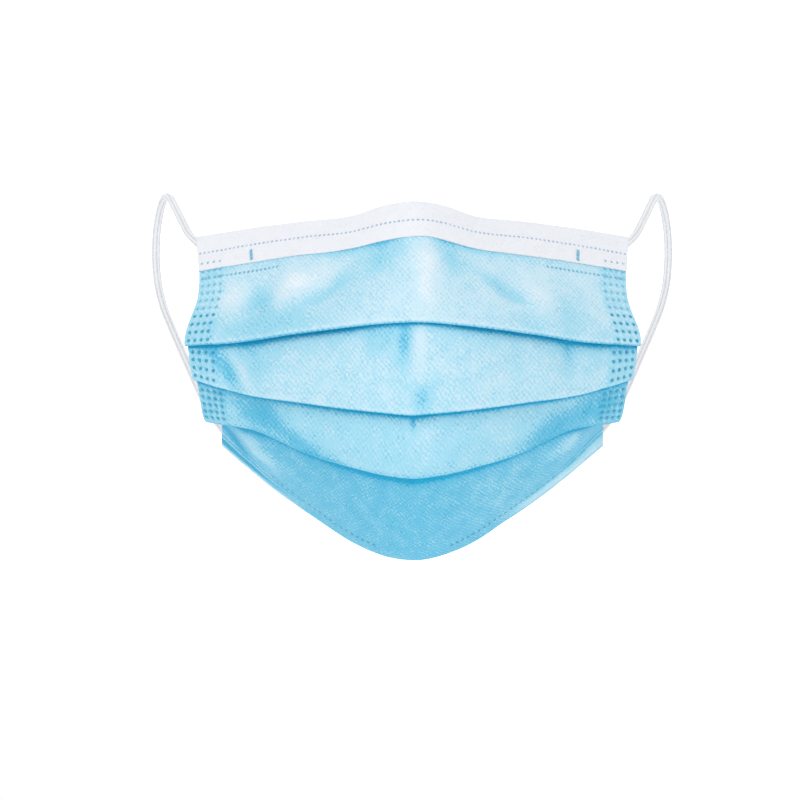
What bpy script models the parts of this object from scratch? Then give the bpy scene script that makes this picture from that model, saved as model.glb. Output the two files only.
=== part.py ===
# Pleated three-ply face mask with two elastic ear loops, in the form that it takes when worn.
# Metres, +Z up. The front faces -Y and +X is the wearer's left.
# The origin is where the inside of the top band sits on the bridge of the nose.

import math
from collections import namedtuple

import bpy
import numpy as np

# Overall form of the worn mask
MASK_HEIGHT = 0.1135       # top edge at the nose down to the hem under the chin
MASK_HALF_WIDTH = 0.0735   # middle out to the widest point of a side edge
MASK_DEPTH = 0.085         # foremost lip back to the hem's corners

# Cloth and pleats
CLOTH = 0.001              # one wall of cloth
PLY_GAP = 0.0004           # air between the plies of a pleat
TUCK_MIDDLE = 0.0058       # cloth hidden behind each lip at the middle, where the pleats are pulled open
TUCK_SIDE = 0.0095         # the same at the side edges, where the pleats are welded shut
LIP_OPENING = 0.0026       # how far the most open pleat stands off the panel below it
DENT_DEPTH = 0.0016        # the deepest hollow in the cloth

# Top band
BAND_WIDTH = 0.0132        # white ply turned over the top edge, down its front
BAND_INSIDE = 0.0115       # the same down its inside
FIT_GAP = 0.0003           # between the band and the cloth in it
SEAT_DROP = 0.005          # top edge down to the nose seat

# Ear loops
LOOP_WIDTH = 0.003

# Fineness of the meshes
SECTIONS = 32              # strips across the mask
PANEL_POINTS = 6           # points down each panel's visible stretch
TUCK_POINTS = 3            # points along each hidden ply
LOOP_POINTS = 52
PROBE = 0.01               # share of the form over which its slope is read

PLY_PITCH = CLOTH + PLY_GAP    # from ply to ply in a pleat, middle to middle
BAND_PITCH = CLOTH + FIT_GAP   # from the cloth to the band round it, middle to middle

# Stations of each row, as shares of its half width: middle, side of the nose, flank of the nose,
# cheek, jaw, side edge
STATIONS = (0.0, 0.12, 0.28, 0.50, 0.76, 1.0)

# A row is a line across the mask. Half is a share of MASK_HALF_WIDTH, drop (down from the top edge's
# middle) of MASK_HEIGHT, and depth (back from the same point) of MASK_DEPTH, the last two by station.
Row = namedtuple("Row", "name half drop depth")
ROWS = (
    Row("top edge", 0.953,
        (0.000, 0.008, 0.035, 0.047, 0.064, 0.084), (0.000, 0.042, 0.159, 0.276, 0.424, 0.565)),
    Row("cheek line", 0.944,
        (0.184, 0.189, 0.204, 0.219, 0.240, 0.253), (-0.114, -0.091, -0.015, 0.102, 0.269, 0.438)),
    Row("upper lip", 1.000,
        (0.329, 0.332, 0.341, 0.358, 0.381, 0.391), (-0.188, -0.175, -0.123, -0.003, 0.178, 0.365)),
    Row("middle lip", 0.964,
        (0.587, 0.581, 0.571, 0.553, 0.530, 0.486), (-0.224, -0.210, -0.156, -0.030, 0.159, 0.353)),
    Row("lower lip", 0.912,
        (0.764, 0.756, 0.735, 0.697, 0.630, 0.608), (-0.141, -0.128, -0.072, 0.056, 0.249, 0.447)),
    Row("chin", 0.859,
        (0.887, 0.881, 0.856, 0.806, 0.722, 0.625), (0.059, 0.071, 0.121, 0.236, 0.410, 0.588)),
    Row("hem", 0.849,
        (1.000, 0.992, 0.960, 0.885, 0.786, 0.680), (0.318, 0.328, 0.372, 0.471, 0.622, 0.776)),
)

# A pleat's lip lies on the row of that number. Opening is a share of LIP_OPENING, by station.
Pleat = namedtuple("Pleat", "row opening")
PLEATS = (
    Pleat(2, (0.15, 0.20, 0.45, 0.55, 0.35, 0.00)),
    Pleat(3, (0.50, 0.45, 0.40, 0.40, 0.30, 0.00)),
    Pleat(4, (0.70, 0.70, 0.60, 0.60, 0.30, 0.00)),
)

# Soft hollows and, where the depth is negative, swellings. Across is from -1 to 1 over the mask and down
# is a share of the section's length; the half sizes are in the same shares. Depth is a share of DENT_DEPTH.
Dent = namedtuple("Dent", "name across down half_across half_down depth")
DENTS = (
    Dent("ridge down from the nose", 0.06, 0.15, 0.12, 0.16, -0.7),
    Dent("right cheek hollow", -0.71, 0.24, 0.10, 0.07, 0.8),
    Dent("right cheek swelling", -0.55, 0.19, 0.10, 0.06, -1.0),
    Dent("right nose hollow", -0.42, 0.22, 0.10, 0.08, 0.7),
    Dent("left nose hollow", 0.47, 0.22, 0.08, 0.07, 0.8),
    Dent("left cheek swelling", 0.60, 0.25, 0.09, 0.06, -0.8),
    Dent("hollow over the mouth", 0.04, 0.46, 0.08, 0.04, 0.6),
    Dent("right corner of the mouth", -0.80, 0.46, 0.08, 0.05, 0.6),
    Dent("left corner of the mouth", 0.69, 0.43, 0.07, 0.05, 0.6),
    Dent("right jaw swelling", -0.80, 0.78, 0.12, 0.08, -1.0),
    Dent("left jaw swelling", 0.80, 0.78, 0.12, 0.08, -0.6),
)

# Route of the wearer's left ear loop, from its weld inside the upper corner, over and behind the ear,
# to its weld inside the lower corner. The right one mirrors it.
LOOP_ROUTE = (
    (0.0621, 0.0385, -0.0172),
    (0.0638, 0.0442, -0.0144),
    (0.0665, 0.0485, -0.0105),
    (0.0690, 0.0528, -0.0072),
    (0.0724, 0.0592, -0.0040),
    (0.0762, 0.0720, 0.0021),
    (0.0796, 0.0890, 0.0080),
    (0.0816, 0.0990, 0.0109),
    (0.0834, 0.1065, 0.0109),
    (0.0851, 0.1125, 0.0075),
    (0.0865, 0.1165, 0.0008),
    (0.0870, 0.1180, -0.0070),
    (0.0864, 0.1160, -0.0160),
    (0.0842, 0.1090, -0.0250),
    (0.0808, 0.1010, -0.0330),
    (0.0770, 0.0930, -0.0410),
    (0.0732, 0.0860, -0.0490),
    (0.0694, 0.0793, -0.0567),
    (0.0656, 0.0730, -0.0628),
    (0.0622, 0.0674, -0.0670),
    (0.0596, 0.0628, -0.0689),
    (0.0583, 0.0592, -0.0690),
    (0.0578, 0.0552, -0.0680),
)


def through(knots, values, at, level_start=False):
    """Smooth curve through the values at the knots, read at one or more places."""
    knots = np.asarray(knots, float)
    values = np.asarray(values, float)
    slopes = np.gradient(values, knots, axis=0)
    if level_start:
        slopes[0] = 0.0
    at = np.atleast_1d(np.asarray(at, float))
    left = np.clip(np.searchsorted(knots, at) - 1, 0, len(knots) - 2)
    span = knots[left + 1] - knots[left]
    u = (at - knots[left]) / span
    if values.ndim == 2:
        u = u[:, None]
        span = span[:, None]
    before, after = values[left], values[left + 1]
    rise, fall = slopes[left] * span, slopes[left + 1] * span
    bend = (2 * u**3 - 3 * u**2) * (before - after) + before
    return bend + (u**3 - 2 * u**2 + u) * rise + (u**3 - u**2) * fall


def by_station(values, t):
    """A value given by station, at the share t of the half width on either side."""
    return float(through(STATIONS, values, abs(t), level_start=True)[0])


def row_points(t):
    """Where the section at t crosses the rows. t runs from -1 to 1 across the mask."""
    return np.array([
        (t * row.half * MASK_HALF_WIDTH,
         by_station(row.depth, t) * MASK_DEPTH,
         -by_station(row.drop, t) * MASK_HEIGHT)
        for row in ROWS
    ])


def row_lengths(t):
    """Lengths down the section at t from the top edge to each row."""
    steps = np.linalg.norm(np.diff(row_points(t), axis=0), axis=1)
    return np.concatenate(([0.0], np.cumsum(steps)))


def surface(t, share):
    """Points of the worn form at shares of the section's length."""
    lengths = row_lengths(t)
    return through(lengths / lengths[-1], row_points(t), share)


def dented(t, share):
    """How far the hollows and swellings move the cloth out of the worn form."""
    return -DENT_DEPTH * sum(
        dent.depth * np.exp(-((t - dent.across) / dent.half_across)**2
                            - ((share - dent.down) / dent.half_down)**2)
        for dent in DENTS)


def place(t, down, out):
    """Points at lengths down the section at t and distances out of the worn form."""
    share = np.asarray(down, float) / row_lengths(t)[-1]
    across = surface(t + PROBE, share) - surface(t - PROBE, share)
    along = surface(t, share + PROBE) - surface(t, share - PROBE)
    normal = np.cross(along, across)
    normal /= np.linalg.norm(normal, axis=1)[:, None]
    return surface(t, share) + normal * (np.asarray(out, float) + dented(t, share))[:, None]


def nose_seat():
    """The point inside the top band that rests on the bridge of the nose."""
    return place(0.0, [SEAT_DROP], [-(BAND_PITCH + CLOTH / 2)])[0]


def ease(u):
    """Rise from 0 to 1 that starts and ends level."""
    u = np.clip(u, 0.0, 1.0)
    return u * u * (3 - 2 * u)


def tuck(t):
    """Cloth hidden behind a lip at t."""
    return TUCK_MIDDLE + (TUCK_SIDE - TUCK_MIDDLE) * abs(t)


def panel_out(panel, t, down):
    """How far the middle of a panel lies out of the worn form. Panel 0 ends at the first lip."""
    if panel == 0:
        return np.zeros(len(down))
    lengths = row_lengths(t)
    pleat = PLEATS[panel - 1]
    lip = lengths[pleat.row]
    end = lengths[PLEATS[panel].row] if panel < len(PLEATS) else lengths[-1]
    opening = by_station(pleat.opening, t) * LIP_OPENING
    behind = panel_out(panel - 1, t, down) - 2 * PLY_PITCH - opening * ease(1 - (lip - down) / tuck(t))
    below = -(2 * PLY_PITCH + opening) * (1 - ease((down - lip) / (end - lip)))
    return np.where(down < lip, behind, below)


def turn(down, out, way):
    """The two middle points of a half turn of the cloth, which starts at (down, out) and goes inwards."""
    half = PLY_PITCH / 2
    return [
        (down + way * half * math.sin(angle), out - half + half * math.cos(angle))
        for angle in (math.pi / 3, 2 * math.pi / 3)
    ]


def pleated_path(t):
    """Middle line of the folded cloth on the section at t, as (down, out) pairs."""
    lengths = row_lengths(t)
    path = []
    for panel in range(len(PLEATS) + 1):
        end = lengths[PLEATS[panel].row] if panel < len(PLEATS) else lengths[-1]
        if panel == 0:
            down = np.linspace(0.0, end, PANEL_POINTS)
        else:
            lip = lengths[PLEATS[panel - 1].row]
            hidden = np.linspace(lip - tuck(t), lip, TUCK_POINTS)
            down = np.concatenate((hidden, np.linspace(lip, end, PANEL_POINTS)[1:]))
        path += list(zip(down, panel_out(panel, t, down)))
        if panel < len(PLEATS):
            back = np.linspace(end, end - tuck(t), TUCK_POINTS)
            behind = panel_out(panel, t, back) - PLY_PITCH
            path += turn(end, 0.0, 1)
            path += list(zip(back, behind))
            path += turn(back[-1], behind[-1], -1)
    return path


def band_path(t):
    """Middle line of the band, from its front edge over the top edge to its inner edge."""
    leg = np.linspace(BAND_WIDTH, 0.0, TUCK_POINTS)
    path = [(down, BAND_PITCH) for down in leg]
    for angle in (math.pi / 4, math.pi / 2, 3 * math.pi / 4):
        path.append((-BAND_PITCH * math.sin(angle), BAND_PITCH * math.cos(angle)))
    inside = np.linspace(0.0, BAND_INSIDE, TUCK_POINTS)
    return path + [(down, -BAND_PITCH) for down in inside]


def material(name, colour, roughness):
    """A plain cloth finish."""
    made = bpy.data.materials.new(name)
    made.use_nodes = True
    shader = made.node_tree.nodes["Principled BSDF"]
    shader.inputs["Base Color"].default_value = (*colour, 1.0)
    shader.inputs["Roughness"].default_value = roughness
    shader.inputs["Metallic"].default_value = 0.0
    return made


def cloth_sheet(name, path_at, finish):
    """A sheet that follows a path on each section across the mask, thickened to a wall."""
    rings = []
    for t in np.linspace(-1.0, 1.0, SECTIONS + 1):
        down, out = np.array(path_at(t)).T
        rings.append(place(t, down, out) - nose_seat())
    count = len(rings[0])
    faces = [
        (j * count + i, (j + 1) * count + i, (j + 1) * count + i + 1, j * count + i + 1)
        for j in range(SECTIONS) for i in range(count - 1)
    ]
    mesh = bpy.data.meshes.new(name)
    mesh.from_pydata(np.concatenate(rings).tolist(), [], faces)
    mesh.shade_smooth()
    mesh.materials.append(finish)
    sheet = bpy.data.objects.new(name, mesh)
    bpy.context.collection.objects.link(sheet)
    wall = sheet.modifiers.new("wall", "SOLIDIFY")
    wall.thickness = CLOTH
    wall.offset = 0.0
    wall.use_even_offset = True
    return sheet


def ear_loop(name, side, finish):
    """The elastic along its route. Side is 1 for the wearer's left and -1 for the right."""
    route = np.array(LOOP_ROUTE)
    steps = np.linalg.norm(np.diff(route, axis=0), axis=1)
    knots = np.concatenate(([0.0], np.cumsum(steps)))
    points = through(knots, route, np.linspace(0.0, knots[-1], LOOP_POINTS))
    curve = bpy.data.curves.new(name, "CURVE")
    curve.dimensions = "3D"
    curve.bevel_depth = LOOP_WIDTH / 2
    curve.bevel_resolution = 2
    curve.use_fill_caps = True
    line = curve.splines.new("POLY")
    line.points.add(len(points) - 1)
    for knot, (x, y, z) in zip(line.points, points):
        knot.co = (side * x, y, z, 1.0)
    curve.materials.append(finish)
    loop = bpy.data.objects.new(name, curve)
    bpy.context.collection.objects.link(loop)
    return loop


def build():
    for old in list(bpy.data.objects):
        bpy.data.objects.remove(old, do_unlink=True)
    blue = material("blue_cloth", (0.28, 0.66, 0.82), 0.8)
    white = material("white_cloth", (0.85, 0.88, 0.92), 0.8)
    elastic = material("white_elastic", (0.76, 0.76, 0.76), 0.85)
    cloth_sheet("face_cloth", pleated_path, blue)
    cloth_sheet("top_band", band_path, white)
    ear_loop("ear_loop_left", 1, elastic)
    ear_loop("ear_loop_right", -1, elastic)


build()
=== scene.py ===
# %% [markdown]
# # A pleated face mask in its worn form
# Three soft things make this object: a blue cloth folded into pleats, a white cloth that lines it and
# turns over the top edge, and two elastic ear loops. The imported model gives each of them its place.
# Here each one gets its real thickness, folds, welds and finish. Everything is in metres.

import math
from collections import namedtuple
from functools import lru_cache

import bpy
import numpy as np
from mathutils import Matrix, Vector, noise


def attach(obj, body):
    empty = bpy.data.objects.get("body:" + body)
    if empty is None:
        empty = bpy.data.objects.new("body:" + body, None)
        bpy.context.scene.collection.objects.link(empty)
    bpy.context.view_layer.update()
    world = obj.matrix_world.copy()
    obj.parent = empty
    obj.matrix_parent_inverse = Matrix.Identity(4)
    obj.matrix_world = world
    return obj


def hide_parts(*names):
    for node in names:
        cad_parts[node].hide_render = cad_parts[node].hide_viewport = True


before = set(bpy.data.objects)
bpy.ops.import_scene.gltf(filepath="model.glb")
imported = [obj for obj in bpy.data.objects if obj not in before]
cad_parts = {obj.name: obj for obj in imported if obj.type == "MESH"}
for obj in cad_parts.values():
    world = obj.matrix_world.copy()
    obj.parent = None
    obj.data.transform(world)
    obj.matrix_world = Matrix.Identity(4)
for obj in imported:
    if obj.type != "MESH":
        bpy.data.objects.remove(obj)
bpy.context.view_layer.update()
print("nodes:", sorted(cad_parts))


def added(name, data):
    """A new object in the scene, which shows the data."""
    made = bpy.data.objects.new(name, data)
    bpy.context.collection.objects.link(made)
    return made



# %% [markdown]
# ## The camera
# The photograph was taken from straight ahead, from far enough away that the mask's sides hardly
# shrink. A camera's lens and distance decide that look together: first the distance is chosen, then
# the lens is made long enough for the width that the picture shows.

# %% Place the camera
CAMERA_DISTANCE = 1.6
PICTURE_WIDTH = 0.2528  # how much of the mask's own plane the picture spans
LOOK_AT = Vector((-0.0041, 0.0, -0.0572))

camera_data = bpy.data.cameras.new("camera")
camera_data.sensor_width = 36.0
camera_data.lens = camera_data.sensor_width * CAMERA_DISTANCE / PICTURE_WIDTH
camera = added("camera", camera_data)
camera.location = LOOK_AT - Vector((0, CAMERA_DISTANCE, 0))
camera.rotation_euler = (math.pi / 2, 0, 0)
bpy.context.scene.camera = camera
bpy.context.scene.view_settings.view_transform = "Standard"
print(f"lens {camera_data.lens:.1f} mm")

# %% [markdown]
# ## Smooth curves through a few values
# Everything soft here follows from short tables. A smooth curve through the values of a table can be
# read anywhere. Each piece of the curve is a cubic, whose slopes come from the neighbouring values.

# %% Read smooth curves


def through(knots, values, at, level_start=False):
    """Smooth curve through the values at the knots, read at one or more places."""
    knots = np.asarray(knots, float)
    values = np.asarray(values, float)
    slopes = np.gradient(values, knots, axis=0)
    if level_start:
        slopes[0] = 0.0
    at = np.atleast_1d(np.asarray(at, float))
    left = np.clip(np.searchsorted(knots, at) - 1, 0, len(knots) - 2)
    span = knots[left + 1] - knots[left]
    u = (at - knots[left]) / span
    if values.ndim == 2:
        u = u[:, None]
        span = span[:, None]
    before, after = values[left], values[left + 1]
    rise, fall = slopes[left] * span, slopes[left + 1] * span
    bend = (2 * u**3 - 3 * u**2) * (before - after) + before
    return bend + (u**3 - 2 * u**2 + u) * rise + (u**3 - u**2) * fall


def ease(u):
    """Rise from 0 to 1 that starts and ends level."""
    u = np.clip(u, 0.0, 1.0)
    return u * u * (3 - 2 * u)


def hump(distance, half_width):
    """A soft hump of height 1 at distance 0."""
    return np.exp(-(np.asarray(distance) / half_width)**2)


# %% [markdown]
# ## The worn form
# The worn cloth bulges over the nose and wraps the cheeks and the chin. Seven rows across the mask, from
# the top edge to the hem, describe that form: how wide each row is, how far down and how far back it
# lies at six stations from the middle to the side. A point of the cloth is then named by t, from -1 to
# 1 across, by its length down the cloth, and by how far it stands out of the form.

# %% Describe the form
MASK_HEIGHT = 0.1135
MASK_HALF_WIDTH = 0.0735
MASK_DEPTH = 0.085
PROBE = 0.01  # how far away the form is read for its slope, as a share
FORM_END = 1.02  # beyond the side edge the form is read no further than here

STATIONS = (0.0, 0.12, 0.28, 0.50, 0.76, 1.0)
Row = namedtuple("Row", "name half drop depth")
ROWS = (
    Row("top edge", 0.953,
        (0.000, 0.008, 0.035, 0.047, 0.064, 0.084), (0.000, 0.042, 0.159, 0.276, 0.424, 0.565)),
    Row("cheek line", 0.944,
        (0.184, 0.189, 0.204, 0.219, 0.240, 0.253), (-0.114, -0.091, -0.015, 0.102, 0.269, 0.438)),
    Row("upper lip", 1.000,
        (0.329, 0.332, 0.341, 0.358, 0.381, 0.391), (-0.188, -0.175, -0.123, -0.003, 0.178, 0.365)),
    Row("middle lip", 0.964,
        (0.587, 0.581, 0.571, 0.553, 0.530, 0.486), (-0.224, -0.210, -0.156, -0.030, 0.159, 0.353)),
    Row("lower lip", 0.912,
        (0.764, 0.756, 0.735, 0.697, 0.630, 0.608), (-0.141, -0.128, -0.072, 0.056, 0.249, 0.447)),
    Row("chin", 0.859,
        (0.887, 0.881, 0.856, 0.806, 0.722, 0.625), (0.059, 0.071, 0.121, 0.236, 0.410, 0.588)),
    Row("hem", 0.849,
        (1.000, 0.992, 0.960, 0.885, 0.786, 0.680), (0.318, 0.328, 0.372, 0.471, 0.622, 0.776)),
)


def by_station(values, t):
    """A value given by station, at the share t of the half width on either side."""
    return float(through(STATIONS, values, min(abs(t), FORM_END), level_start=True)[0])


@lru_cache(maxsize=None)
def row_points(t):
    """Where the section at t crosses the rows. Sections are asked for often, so they are kept."""
    return np.array([
        (t * row.half * MASK_HALF_WIDTH,
         by_station(row.depth, t) * MASK_DEPTH,
         -by_station(row.drop, t) * MASK_HEIGHT)
        for row in ROWS
    ])


@lru_cache(maxsize=None)
def row_lengths(t):
    """Lengths down the section at t from the top edge to each row."""
    steps = np.linalg.norm(np.diff(row_points(t), axis=0), axis=1)
    return np.concatenate(([0.0], np.cumsum(steps)))


print("cloth from the top edge to the hem:",
      [f"{1000 * row_lengths(t)[-1]:.1f} mm at {t}" for t in (0.0, 0.5, 1.0)])

# %% [markdown]
# ## Soft hollows and swellings
# Worn cloth isn't smooth. It is pressed in beside the nose and pushed out over the cheeks. Each hollow
# is a soft round dip with a place, two half sizes and a depth. The broad ones shape the whole stack of
# plies, so they are part of the form itself.

# %% Name the broad hollows
DENT_DEPTH = 0.0016
Dent = namedtuple("Dent", "name across down half_across half_down depth")
DENTS = [Dent(*row) for row in (
    ("ridge down from the nose", 0.06, 0.15, 0.12, 0.16, -0.7),
    ("right cheek hollow", -0.71, 0.24, 0.10, 0.07, 0.8),
    ("right cheek swelling", -0.55, 0.19, 0.10, 0.06, -1.0),
    ("right nose hollow", -0.42, 0.22, 0.10, 0.08, 0.7),
    ("left nose hollow", 0.47, 0.22, 0.08, 0.07, 0.8),
    ("left cheek swelling", 0.60, 0.25, 0.09, 0.06, -0.8),
    ("hollow over the mouth", 0.04, 0.46, 0.08, 0.04, 0.6),
    ("right corner of the mouth", -0.80, 0.46, 0.08, 0.05, 0.6),
    ("left corner of the mouth", 0.69, 0.43, 0.07, 0.05, 0.6),
    ("right jaw swelling", -0.80, 0.78, 0.12, 0.08, -1.0),
    ("left jaw swelling", 0.80, 0.78, 0.12, 0.08, -0.6),
)]


def dented(t, share):
    """How far the broad hollows and swellings move the cloth out of the worn form."""
    return -DENT_DEPTH * sum(
        dent.depth * hump(t - dent.across, dent.half_across)
        * hump(share - dent.down, dent.half_down) for dent in DENTS)


def place(t, down, out):
    """Points at lengths down the section at t and distances out of the worn form."""
    lengths = row_lengths(t)
    share = np.asarray(down, float) / lengths[-1]

    def surface(at, shares):
        there = row_lengths(at)
        return through(there / there[-1], row_points(at), shares)

    across = surface(t + PROBE, share) - surface(t - PROBE, share)
    along = surface(t, share + PROBE) - surface(t, share - PROBE)
    normal = np.cross(along, across)
    normal /= np.linalg.norm(normal, axis=1)[:, None]
    return surface(t, share) + normal * (np.asarray(out, float) + dented(t, share))[:, None]


SEAT_DROP, SEAT_INSIDE = 0.005, 0.0018
seat = place(0.0, [SEAT_DROP], [-SEAT_INSIDE])[0]
print("nose seat in the form:", (1000 * seat).round(2), "mm")

# %% [markdown]
# ## How the cloth is folded
# The pleats all face down, as on a Venetian blind. Under each lip the cloth turns back up, goes up
# behind the panel, turns again and comes down behind its own lip to form the next panel. A section
# through the mask is therefore one long path of points. Each point has a panel, a length down the
# form, a distance out of it, and a normal, so that plies of a real thickness can be laid beside it.

# %% Fold one section of the cloth
PLY_PITCH = 0.0008  # from ply to ply in a pleat, middle to middle
TUCK_MIDDLE = 0.0058  # cloth hidden behind each lip at the middle
TUCK_SIDE = 0.0095  # the same at the side edges
LIP_OPENING = 0.0026  # how far the most open pleat stands off the panel below it
HEM_TURN = 0.0042  # cloth turned in at the hem
HEM_STRIP = (0.0042, 0.0045, 0.0055, 0.0070, 0.0095, 0.0110)  # hem's edge to its welds, by station
BAND_WIDTH = (0.0124, 0.0126, 0.0134, 0.0138, 0.0134, 0.0130)  # cloth turned over the top, by station
HALF_CUT_WIDTH = 0.0875  # half the width that the cloth was cut to

Pleat = namedtuple("Pleat", "row opening")
PLEATS = (
    Pleat(2, (0.15, 0.20, 0.45, 0.55, 0.35, 0.00)),
    Pleat(3, (0.50, 0.45, 0.40, 0.40, 0.30, 0.00)),
    Pleat(4, (0.70, 0.70, 0.60, 0.60, 0.30, 0.00)),
)
PANELS = len(PLEATS) + 1


def panel_ends(t):
    """Lengths down the section at which the panels start and end."""
    lengths = row_lengths(t)
    return np.array([0.0] + [lengths[pleat.row] for pleat in PLEATS] + [lengths[-1]])


def tuck(t):
    """Cloth hidden behind a lip at t."""
    return TUCK_MIDDLE + (TUCK_SIDE - TUCK_MIDDLE) * abs(t)


def panel_out(panel, t, down, ends):
    """How far the middle of a panel lies out of the form. Panel 0 ends at the first lip."""
    if panel == 0:
        return np.zeros(len(down))
    lip, end = ends[panel], ends[panel + 1]
    opening = by_station(PLEATS[panel - 1].opening, t) * LIP_OPENING
    before = panel_out(panel - 1, t, down, ends)
    behind = before - 2 * PLY_PITCH - opening * ease(1 - (lip - down) / tuck(t))
    below = -(2 * PLY_PITCH + opening) * (1 - ease((down - lip) / (end - lip)))
    return np.where(down < lip, behind, below)


# %% [markdown]
# ## Weld pips down the sides
# The side edges of the plies are welded together with four columns of small pressed pips. The cloth
# stays puffy between them, so the side bands look quilted. The pips' places are named first, because
# the mesh lines of the cloth are laid through them: then few faces give clean dimples.

# %% Name the pips' places
PIP_COLUMNS = np.array([1.79, 4.29, 6.79, 9.28]) / 1000  # in from the side edge, along the cloth
PipRows = namedtuple("PipRows", "first pitch count")
PIP_ROWS = (
    PipRows(0.0103, 0.0028, 11),  # lengths from the panel's start, at the side edge
    PipRows(0.0026, 0.0024, 4),
    PipRows(0.0040, 0.0024, 5),
    PipRows(0.0, 0.0029, 0),
)
side_panels = np.diff(panel_ends(1.0))
pip_shares = [(rows.first + rows.pitch * np.arange(rows.count)) / length
              for rows, length in zip(PIP_ROWS, side_panels)]


def pips_down(ends):
    """Lengths down a section at which the pips of each panel lie."""
    return [start + shares * (end - start) for start, end, shares in zip(ends, ends[1:], pip_shares)]


print("panels at the side:", (1000 * side_panels).round(1), "mm; pips a column:",
      sum(rows.count for rows in PIP_ROWS))

# %% Lay out the mesh lines
FINE_STEPS = 6  # mesh lines from pip to pip
FINE_ABOVE = 4.5  # fine steps above the first row of pips
TOP_LINES, BOTTOM_LINES = 9, 72
TOO_CLOSE = 0.3  # no line lies nearer to a panel's end, in fine steps
COLUMN_STEP, COARSE_COLUMNS = 0.0005, 60


def panel_shares(panel):
    """Shares of a panel's length at which the mesh has a line, with one through every row of pips."""
    length, rows = side_panels[panel], PIP_ROWS[panel]
    step = rows.pitch / FINE_STEPS
    lines = np.arange(rows.first - step * math.floor(rows.first / step), length, step)
    if panel == 0:
        lines = lines[lines > rows.first - FINE_ABOVE * step]
        lines = np.concatenate((np.linspace(0, lines[0], TOP_LINES)[:-1], lines))
    if panel == PANELS - 1:
        lines = np.linspace(0, length, BOTTOM_LINES)
    lines = lines[(lines > TOO_CLOSE * step) & (lines < length - TOO_CLOSE * step)]
    return np.concatenate(([0.0], lines, [length])) / length


def columns_across():
    """Values of t at which the mesh has a line, with one through every column of pips."""
    fine = np.arange(-3, 19) * COLUMN_STEP + PIP_COLUMNS[0]
    coarse = np.linspace(fine[-1], HALF_CUT_WIDTH, COARSE_COLUMNS)[1:-1]
    inwards = np.concatenate(([0.0], fine, coarse))
    side = 1 - inwards / HALF_CUT_WIDTH
    return np.concatenate((-side, [0.0], side[::-1]))


PANEL_SHARES = [panel_shares(panel) for panel in range(PANELS)]
COLUMNS = columns_across()
print("mesh lines down:", [len(s) for s in PANEL_SHARES], "and across:", len(COLUMNS))

# %% [markdown]
# ## Creases and small wrinkles
# On top of the broad hollows the photograph shows narrow creases and ridges in single panels. Each is
# a soft stroke with a centre, a half length, a half width and a direction. A stroke moves the cloth a
# little and also changes its tone: that tone is painted highlight along the ridges and painted shade
# in the creases and hollows.

# %% Name the creases
# tone paints shade where it is above 0 and a highlight where it is below 0; depth moves the cloth
Crease = namedtuple("Crease", "name panel across share long wide turn depth tone")
CREASES = [Crease(*row) for row in (
    ("ridge down from the nose", 0, 0.055, 0.62, 14, 3.2, 0, -0.4, -0.22),
    ("right flank of the nose", 0, -0.137, 0.40, 8, 6, 20, 0.4, 0.22),
    ("left flank of the nose", 0, 0.165, 0.42, 9, 4, -20, 0.4, 0.16),
    ("right diagonal", 0, -0.42, 0.70, 13, 3.2, 60, 0.4, 0.14),
    ("right of the nose", 0, -0.28, 0.66, 8, 7, 0, 0, 0.07),
    ("right cheek hollow", 0, -0.69, 0.68, 7, 5, -20, 0.4, 0.26),
    ("right cheek swelling", 0, -0.52, 0.58, 9, 4.2, 62, -0.3, -0.24),
    ("right edge swelling", 0, -0.82, 0.60, 4.5, 3.6, 40, -0.3, -0.22),
    ("right cheek's foot", 0, -0.66, 0.92, 6, 22, 0, 0, 0.20),
    ("left diagonal", 0, 0.44, 0.67, 11, 2.8, -60, 0.4, 0.22),
    ("left cheek swelling", 0, 0.56, 0.70, 7, 4, -20, -0.3, -0.18),
    ("left cheek hollow", 0, 0.70, 0.74, 6, 5, 0, 0.3, 0.12),
    ("left cheek's foot", 0, 0.62, 0.94, 5, 20, 0, 0, 0.12),
    ("crease over the lips", 1, -0.040, 0.26, 7.5, 2, 4, 0.8, 0.32),
    ("ridge beside it", 1, 0.035, 0.22, 8.5, 2.2, 0, -0.4, -0.20),
    ("right of the crease", 1, -0.13, 0.16, 5, 6, 30, 0.2, 0.14),
    ("right end hollow", 1, -0.84, 0.60, 9, 2.8, -32, 0.4, 0.30),
    ("right end shade", 1, -0.72, 0.40, 8, 6, 0, 0.2, 0.14),
    ("right end ridge", 1, -0.775, 0.52, 8, 2, -32, -0.3, -0.12),
    ("left spot", 1, 0.70, 0.30, 5.5, 2.2, -5, 0.3, 0.16),
    ("hollow over the middle lip", 1, 0.045, 0.84, 4.5, 3, 0, 0.2, 0.26),
    ("right end of the chin", 2, -0.72, 0.50, 8, 6.5, -60, 0.3, 0.28),
    ("right foot of the chin", 2, -0.50, 0.92, 14, 3.6, -72, 0.2, 0.26),
    ("left end of the chin", 2, 0.68, 0.80, 14.5, 5, 80, 0.3, 0.31),
    ("left corner of the chin", 2, 0.86, 0.50, 6, 6, 0, 0.2, 0.15),
    ("small crease under the middle lip", 2, 0, 0.12, 3.5, 1, 0, 0.5, 0.34),
    ("left of the small crease", 2, 0.05, 0.35, 6, 6, 0, -0.2, -0.10),
    ("left half of the chin", 2, 0.42, 0.42, 9, 8, 0, 0, -0.06),
    ("right jaw", 3, -0.80, 0.33, 11.5, 4.6, -45, -0.3, -0.26),
    ("right corner of the jaw", 3, -0.95, 0.48, 9, 3, -45, 0.2, 0.36),
    ("left jaw", 3, 0.80, 0.22, 7, 4, 42, -0.2, -0.26),
    ("left of the chin", 3, 0.46, 0.45, 14, 12, 0, 0, -0.07),
)]


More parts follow.
